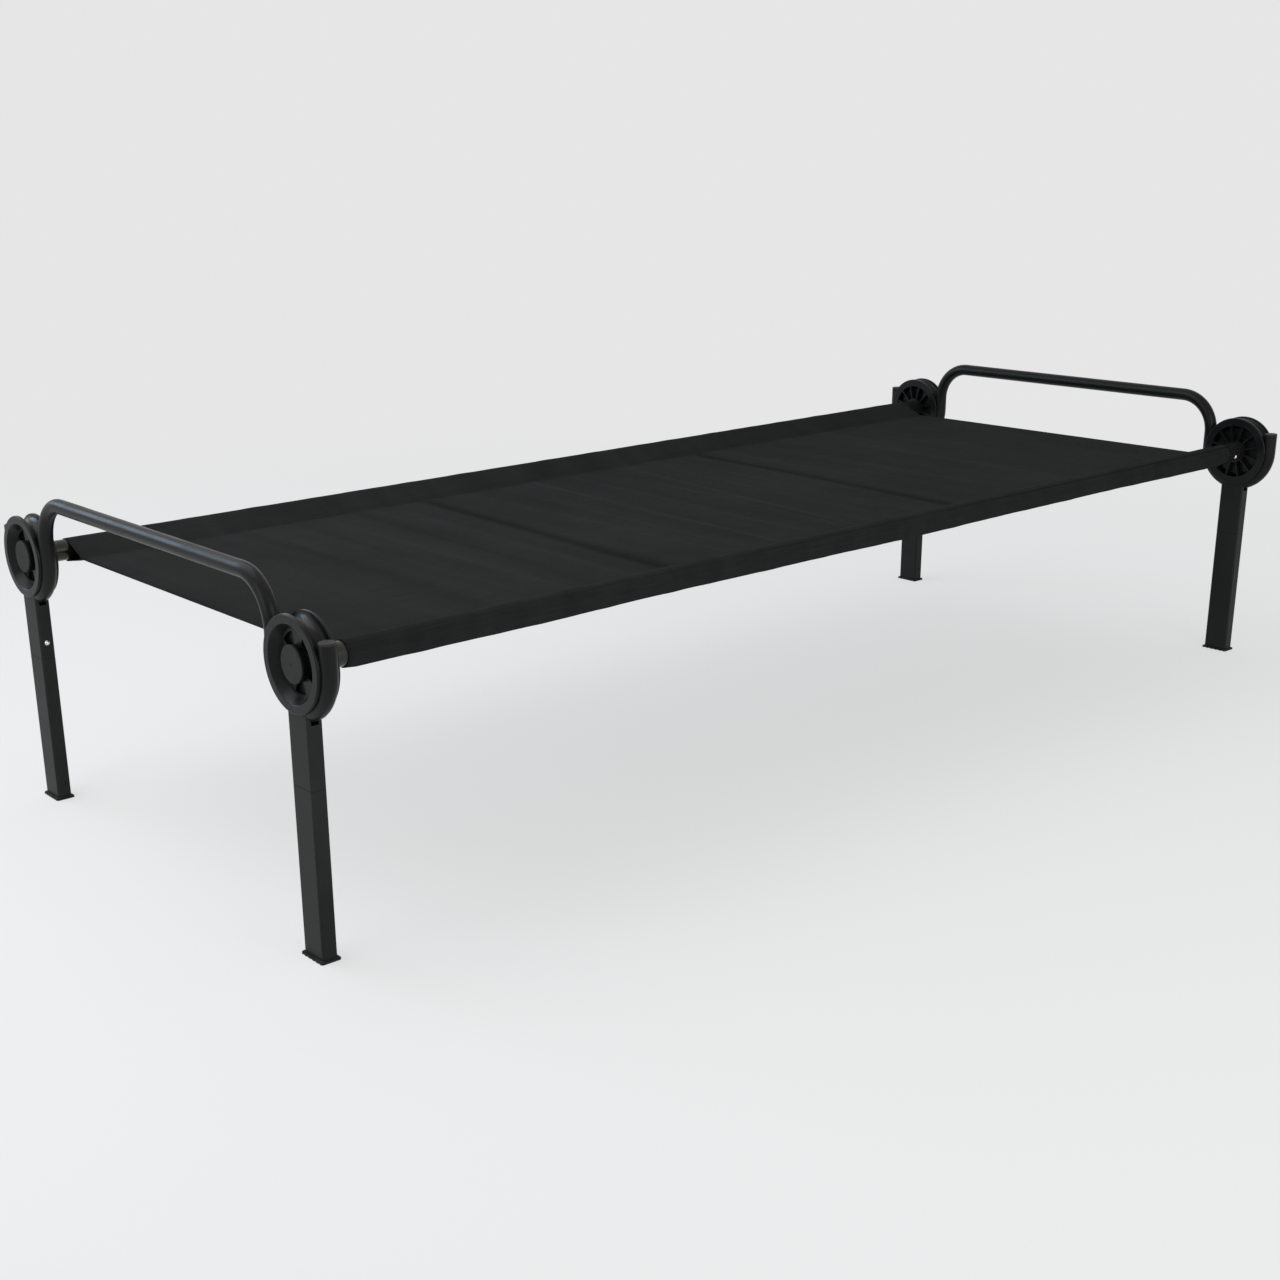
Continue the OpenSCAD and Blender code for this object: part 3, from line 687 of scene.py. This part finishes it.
scaled = add(weave_group, "ShaderNodeVectorMath", _operation="SCALE",
             Vector=g_in.outputs["UV"], Scale=g_in.outputs["Threads per Metre"])
split = add(weave_group, "ShaderNodeSeparateXYZ", Vector=scaled.outputs["Vector"])
thread_u, thread_v = split.outputs["X"], split.outputs["Y"]
cell = combine(weave_group, "MULTIPLY", wave(thread_u, math.pi / 2), wave(thread_v, math.pi / 2))
over = remap(weave_group, cell, -CROSSING, CROSSING)
under = combine(weave_group, "SUBTRACT", 1.0, over)
round_u = combine(weave_group, "ABSOLUTE", wave(thread_u, 0.0))
round_v = combine(weave_group, "ABSOLUTE", wave(thread_v, 0.0))
lift = combine(weave_group, "MAXIMUM", combine(weave_group, "MULTIPLY", round_u, over),
               combine(weave_group, "MULTIPLY", round_v, under))
stretch = add(weave_group, "ShaderNodeMapping", Vector=g_in.outputs["UV"], Scale=SLUBS_PER_METRE)
slub = add(weave_group, "ShaderNodeTexNoise", Vector=stretch.outputs["Vector"], Scale=1.0,
           Detail=3.0, Roughness=0.6)
weave_group.links.new(lift, g_out.inputs["Height"])
weave_group.links.new(over, g_out.inputs["Warp"])
weave_group.links.new(slub.outputs["Fac"], g_out.inputs["Slub"])

CLOTH_BLACK = (0.0173, 0.0177, 0.0175)
THREAD_BLACK = (0.0080, 0.0085, 0.0085)
THREADS_PER_METRE = 1100.0
WARP_CONTRAST = 0.14
SLUB_CONTRAST = 0.12
PATCH_TONE = 0.07
STREAK_CONTRAST = 0.12
STREAK_TURN = -0.06
STREAKS_PER_METRE = (19.0, 1.7, 1.0)
# Painted shade: how dark the fold lines and the shoulder lines are painted
PAINTED_SHADE_TONE = 0.55
# Painted highlight on the crests and painted shade in shallow dips
PAINTED_CREST_SPAN = (-0.3, 0.6)
PAINTED_CREST_TONES = (0.86, 1.36)
CLOTH_DUST = 0.012
GRAIN_SHARE = 0.5
WEAVE_BUMP = 0.00012
WEAVE_BUMP_SHARE = 0.7


def noise_tone(tree, value, contrast):
    """A factor that runs with a noise, as far under 1 as over it."""
    return remap(tree, value, *NOISE_SPAN, 1 - contrast, 1 + contrast)


def woven(name, colour):
    """Coated cloth: two thread directions a little apart in tone, slubs, streaks, painted shade
    along the deck's fold lines and shoulder lines, painted highlight on its crests, and dust."""
    material, tree, surface = start_material(name)
    sheet_uv = add(tree, "ShaderNodeUVMap", _uv_map="cloth_metres")
    place = add(tree, "ShaderNodeTexCoord")
    texture = use_group(tree, grain_group, Vector=place.outputs["Object"],
                        Grains_per_Metre=160.0, Patches_per_Metre=3.2)
    weave = use_group(tree, weave_group, UV=sheet_uv.outputs["UV"],
                      Threads_per_Metre=THREADS_PER_METRE)
    warp_tone = mix_colour(tree, weave.outputs["Warp"], toned(colour, 1 - WARP_CONTRAST),
                           toned(colour, 1 + WARP_CONTRAST))
    drawn = add(tree, "ShaderNodeMapping", Vector=sheet_uv.outputs["UV"],
                Rotation=(0.0, 0.0, STREAK_TURN), Scale=STREAKS_PER_METRE)
    streak = add(tree, "ShaderNodeTexNoise", Vector=drawn.outputs["Vector"], Scale=1.0,
                 Detail=2.0, Roughness=0.6)
    line = add(tree, "ShaderNodeAttribute", _attribute_name="painted_shade_line")
    crest_light_input = add(tree, "ShaderNodeAttribute", _attribute_name="crest")
    tone = noise_tone(tree, weave.outputs["Slub"], SLUB_CONTRAST)
    for factor in (
        noise_tone(tree, texture.outputs["Patches"], PATCH_TONE),
        noise_tone(tree, streak.outputs["Fac"], STREAK_CONTRAST),
        # painted shade along the fold lines and shoulder lines
        remap(tree, line.outputs["Fac"], 0.0, 1.0, 1.0, PAINTED_SHADE_TONE),
        # painted highlight on the crests
        remap(tree, crest_light_input.outputs["Fac"], *PAINTED_CREST_SPAN, *PAINTED_CREST_TONES),
    ):
        tone = combine(tree, "MULTIPLY", tone, factor)
    tinted = add(tree, "ShaderNodeVectorMath", _operation="SCALE", Vector=warp_tone, Scale=tone)
    dusted_and_lit = use_group(tree, top_light_and_dust_group, Colour=tinted.outputs["Vector"],
                        Patches=texture.outputs["Patches"], Amount=CLOTH_DUST)
    deep = combine(tree, "MULTIPLY_ADD", texture.outputs["Grain"], GRAIN_SHARE,
                   weave.outputs["Height"])
    relief = add(tree, "ShaderNodeBump", Strength=WEAVE_BUMP_SHARE, Distance=WEAVE_BUMP,
                 Height=deep)
    for key, value in (
        ("Base Color", dusted_and_lit.outputs["Colour"]),
        ("Normal", relief.outputs["Normal"]),
        ("Roughness", 0.85),
        ("Specular IOR Level", 0.02),
    ):
        connect(tree, surface, key, value)
    return material


deck_weave = woven("deck_weave", CLOTH_BLACK)
stitch_thread = hard_finish("stitch_thread", THREAD_BLACK, rough=0.6, grains=3000.0,
                            bump_mm=0.03, patches=200.0, dust_and_top_light_amount=0.01, specular=0.1)
for piece in [deck] + hems:
    piece.data.materials.append(deck_weave)
for piece in stitch_rows:
    piece.data.materials.append(stitch_thread)
for piece in [deck] + hems + stitch_rows:
    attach(piece, root)
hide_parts("fabric_deck")

# ---- Studio ----------------------------------------------------------------------------
# A pale floor that fades into a pale surround. A cool window light stands high behind the
# left end, a small light beside that end, one over the deck and a broad one in front. The
# camera is off the front left corner.

PALE = (0.7913, 0.7913, 0.7913, 1.0)
FLOOR_RADIUS = 30.0
FLOOR_DROP = 0.0004  # keeps the floor clear of the feet's undersides
FLOOR_LIT = (0.95, 0.95, 0.95, 1.0)
SHADOW_KEPT = 0.25
SHADOW_SPAN = (1.4, 3.4)  # metres from the middle of the floor


def seen_directly(tree, ray):
    """1 for a ray from the camera, or one that is reflected or goes through glass."""
    seen = combine(tree, "MAXIMUM", ray.outputs["Is Camera Ray"], ray.outputs["Is Glossy Ray"])
    return combine(tree, "MAXIMUM", seen, ray.outputs["Is Transmission Ray"])


def mix_shader(tree, share, first, second):
    """A shader between two others."""
    return add(tree, "ShaderNodeMixShader", in0=share, in1=first, in2=second).outputs["Shader"]


bpy.ops.object.select_all(action="DESELECT")
bpy.ops.mesh.primitive_circle_add(vertices=96, radius=FLOOR_RADIUS, fill_type="NGON",
                                  location=(0, 0, -FLOOR_DROP))
floor = bpy.context.active_object
floor.name = "floor"
floor_paint, tree, lit = start_material("floor_paint")
connect(tree, lit, "Base Color", FLOOR_LIT)
connect(tree, lit, "Roughness", 1.0)
connect(tree, lit, "Specular IOR Level", 0.0)
place = add(tree, "ShaderNodeTexCoord")
out_from_middle = add(tree, "ShaderNodeVectorMath", _operation="LENGTH",
                      in0=place.outputs["Object"])
fade = remap(tree, out_from_middle.outputs["Value"], *SHADOW_SPAN, 1.0 - SHADOW_KEPT, 1.0,
             curve="SMOOTHSTEP")
ray = add(tree, "ShaderNodeLightPath")
plain = add(tree, "ShaderNodeEmission", Color=PALE, Strength=1.0)
shown = mix_shader(tree, combine(tree, "MULTIPLY", fade, seen_directly(tree, ray)),
                   lit.outputs["BSDF"], plain.outputs["Emission"])
# From under the floor the camera sees through it to the underside of the bed
side_seen = add(tree, "ShaderNodeNewGeometry")
below = combine(tree, "MULTIPLY", side_seen.outputs["Backfacing"], ray.outputs["Is Camera Ray"])
clear = add(tree, "ShaderNodeBsdfTransparent")
shown = mix_shader(tree, below, shown, clear.outputs["BSDF"])
tree.links.new(shown, tree.nodes["Material Output"].inputs["Surface"])
floor.data.materials.append(floor_paint)

# What the camera sees of the surround is plain; what lights the bed is brighter behind it
SKY_WHITE = (0.96, 0.985, 1.0, 1.0)
SKY_FROM = (-0.33, 0.66, 0.675)
SKY_POWER = 2.0
SKY_GAIN = 0.55
SKY_FLOOR = 0.42
surround = bpy.data.worlds.new("surround")
bpy.context.scene.world = surround
surround.use_nodes = True
tree = surround.node_tree
tree.nodes.clear()
ray = add(tree, "ShaderNodeLightPath")
place = add(tree, "ShaderNodeTexCoord")
towards = add(tree, "ShaderNodeVectorMath", _operation="DOT_PRODUCT",
              in0=place.outputs["Generated"], in1=SKY_FROM)
lobe = combine(tree, "MAXIMUM", towards.outputs["Value"], 0.0)
lobe = combine(tree, "POWER", lobe, SKY_POWER)
sky = combine(tree, "MULTIPLY_ADD", lobe, SKY_GAIN, SKY_FLOOR)
ambient = add(tree, "ShaderNodeBackground", Color=SKY_WHITE, Strength=sky)
plain = add(tree, "ShaderNodeBackground", Color=PALE, Strength=1.0)
shown = mix_shader(tree, seen_directly(tree, ray), ambient.outputs[0], plain.outputs[0])
tree.links.new(shown, tree.nodes.new("ShaderNodeOutputWorld").inputs["Surface"])

# Name, place, aim, size in metres, watts and colour of each square panel light
LIGHTS = [
    ("window_light", (-2.6, 4.4, 2.4), (-0.6, 0.0, 0.4), 2.1, 70.0, (0.58, 0.77, 1.0)),
    ("side_light", (-2.5, -0.2, 0.95), (-1.0, 0.0, 0.3), 1.0, 6.5, (0.97, 0.99, 1.0)),
    ("top_light", (-1.3, 0.7, 2.0), (-0.9, 0.1, 0.4), 1.6, 17.0, (1.0, 0.995, 0.985)),
    ("front_light", (-0.5, -3.3, 1.2), (-0.1, 0.0, 0.3), 2.2, 33.5, (1.0, 0.99, 0.98)),
]
for name, place, aim, size, watts, colour in LIGHTS:
    bpy.ops.object.light_add(type="AREA", location=place)
    lamp = bpy.context.active_object
    lamp.name = name
    lamp.data.shape = "SQUARE"
    lamp.data.size = size
    lamp.data.energy = watts
    lamp.data.color = colour
    lamp.rotation_euler = (Vector(aim) - Vector(place)).to_track_quat("-Z", "Y").to_euler()

CAMERA_PLACE = (-2.0658, -2.1545, 0.9838)
CAMERA_TURN = math.radians(39.36191)
CAMERA_DIP = math.radians(19.23477)
CAMERA_ROLL = math.radians(-1.00556)
SENSOR_MM = 36.0
LENS_MM = 49.941703
LENS_SHIFT = (0.0549375, 0.0819766)
look = Vector((math.sin(CAMERA_TURN) * math.cos(CAMERA_DIP),
               math.cos(CAMERA_TURN) * math.cos(CAMERA_DIP), -math.sin(CAMERA_DIP)))
level = Vector((math.cos(CAMERA_TURN), -math.sin(CAMERA_TURN), 0.0))
lifted = level.cross(look)
right = math.cos(CAMERA_ROLL) * level + math.sin(CAMERA_ROLL) * lifted
up = -math.sin(CAMERA_ROLL) * level + math.cos(CAMERA_ROLL) * lifted
lens = bpy.data.cameras.new("camera")
lens.sensor_width = SENSOR_MM
lens.lens = LENS_MM
lens.shift_x, lens.shift_y = LENS_SHIFT
lens.clip_end = 200.0
camera = bpy.data.objects.new("camera", lens)
bpy.context.scene.collection.objects.link(camera)
turned = Matrix((right, up, -look)).transposed()
camera.matrix_world = Matrix.Translation(CAMERA_PLACE) @ turned.to_4x4()
bpy.context.scene.camera = camera
bpy.context.scene.view_settings.view_transform = "Standard"
